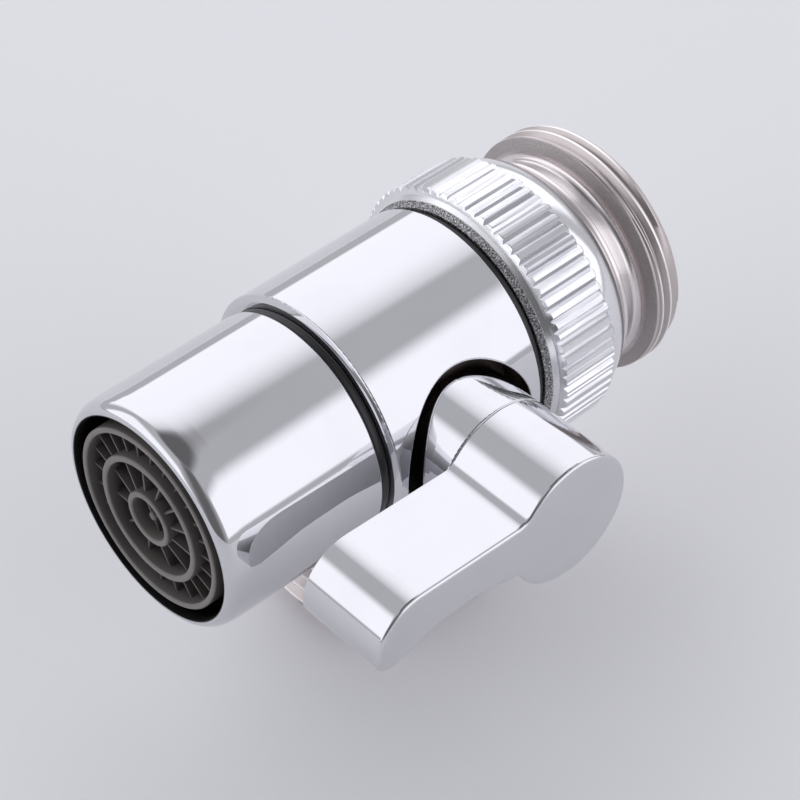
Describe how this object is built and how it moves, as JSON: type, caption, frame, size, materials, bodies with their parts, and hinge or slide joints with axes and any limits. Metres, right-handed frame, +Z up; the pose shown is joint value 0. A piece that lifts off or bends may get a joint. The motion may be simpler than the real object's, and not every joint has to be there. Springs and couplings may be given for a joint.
{
  "type": "tap diverter valve",
  "caption": "Chrome diverter valve for a sink tap: knurled swivel inlet nut, straight run to an aerator, threaded side outlet and a quarter-turn lever.",
  "frame": {"origin": "centre of the side outlet's end face, on which the valve stands", "axes": "+X along the main axis towards the inlet thread, -Y towards the lever, +Z up, away from the side outlet"},
  "size_m": [0.0525, 0.0373, 0.0374],
  "materials": {
    "body_chrome": "polished chrome plate on brass",
    "lever_chrome": "polished chrome plate on a zinc casting",
    "nut_chrome": "satin-bright chrome plate with a straight knurl",
    "satin_nickel": "turned brass with a warm satin nickel plate",
    "turned_brass": "plain turned brass",
    "ball_chrome": "hard chrome, mirror finish",
    "stainless": "punched stainless sheet",
    "grey_plastic": "warm grey moulded acetal, fine matt",
    "white_seat": "white low-friction plastic",
    "black_rubber": "black nitrile rubber, slightly glossy"
  },
  "bodies": {
    "valve": {"valve_body": "body_chrome", "inlet_spigot": "turned_brass", "outlet_nipple": "satin_nickel", "outlet_seal": "black_rubber", "inlet_seat": "white_seat", "aerator_seat": "white_seat", "outlet_seat": "white_seat", "stem_washer": "white_seat", "bonnet": "body_chrome", "swivel_washer": "black_rubber", "barrel_seal": "black_rubber", "aerator_barrel": "body_chrome", "aerator_washer": "black_rubber", "aerator_screen": "stainless", "jet_plate": "grey_plastic", "aerator_grille": "grey_plastic"},
    "lever_group": {"lever": "lever_chrome", "lever_screw": "stainless", "stem": "turned_brass", "stem_seal_inner": "black_rubber", "stem_seal_outer": "black_rubber", "diverter_ball": "ball_chrome"},
    "inlet_nut": {"swivel_nut": "nut_chrome", "thread_adapter": "satin_nickel", "inlet_washer": "black_rubber", "inlet_strainer": "stainless", "end_washer": "black_rubber"}
  },
  "joints": [
    {"name": "lever_turn", "type": "hinge", "parent": "valve", "child": "lever_group", "pos_m": [0, -0.0196, 0.0242], "axis": [0, 1, 0], "range_deg": [0, 90]},
    {"name": "nut_spin", "type": "hinge", "parent": "valve", "child": "inlet_nut", "pos_m": [0.0145, 0, 0.0242], "axis": [1, 0, 0], "continuous": true}
  ]
}
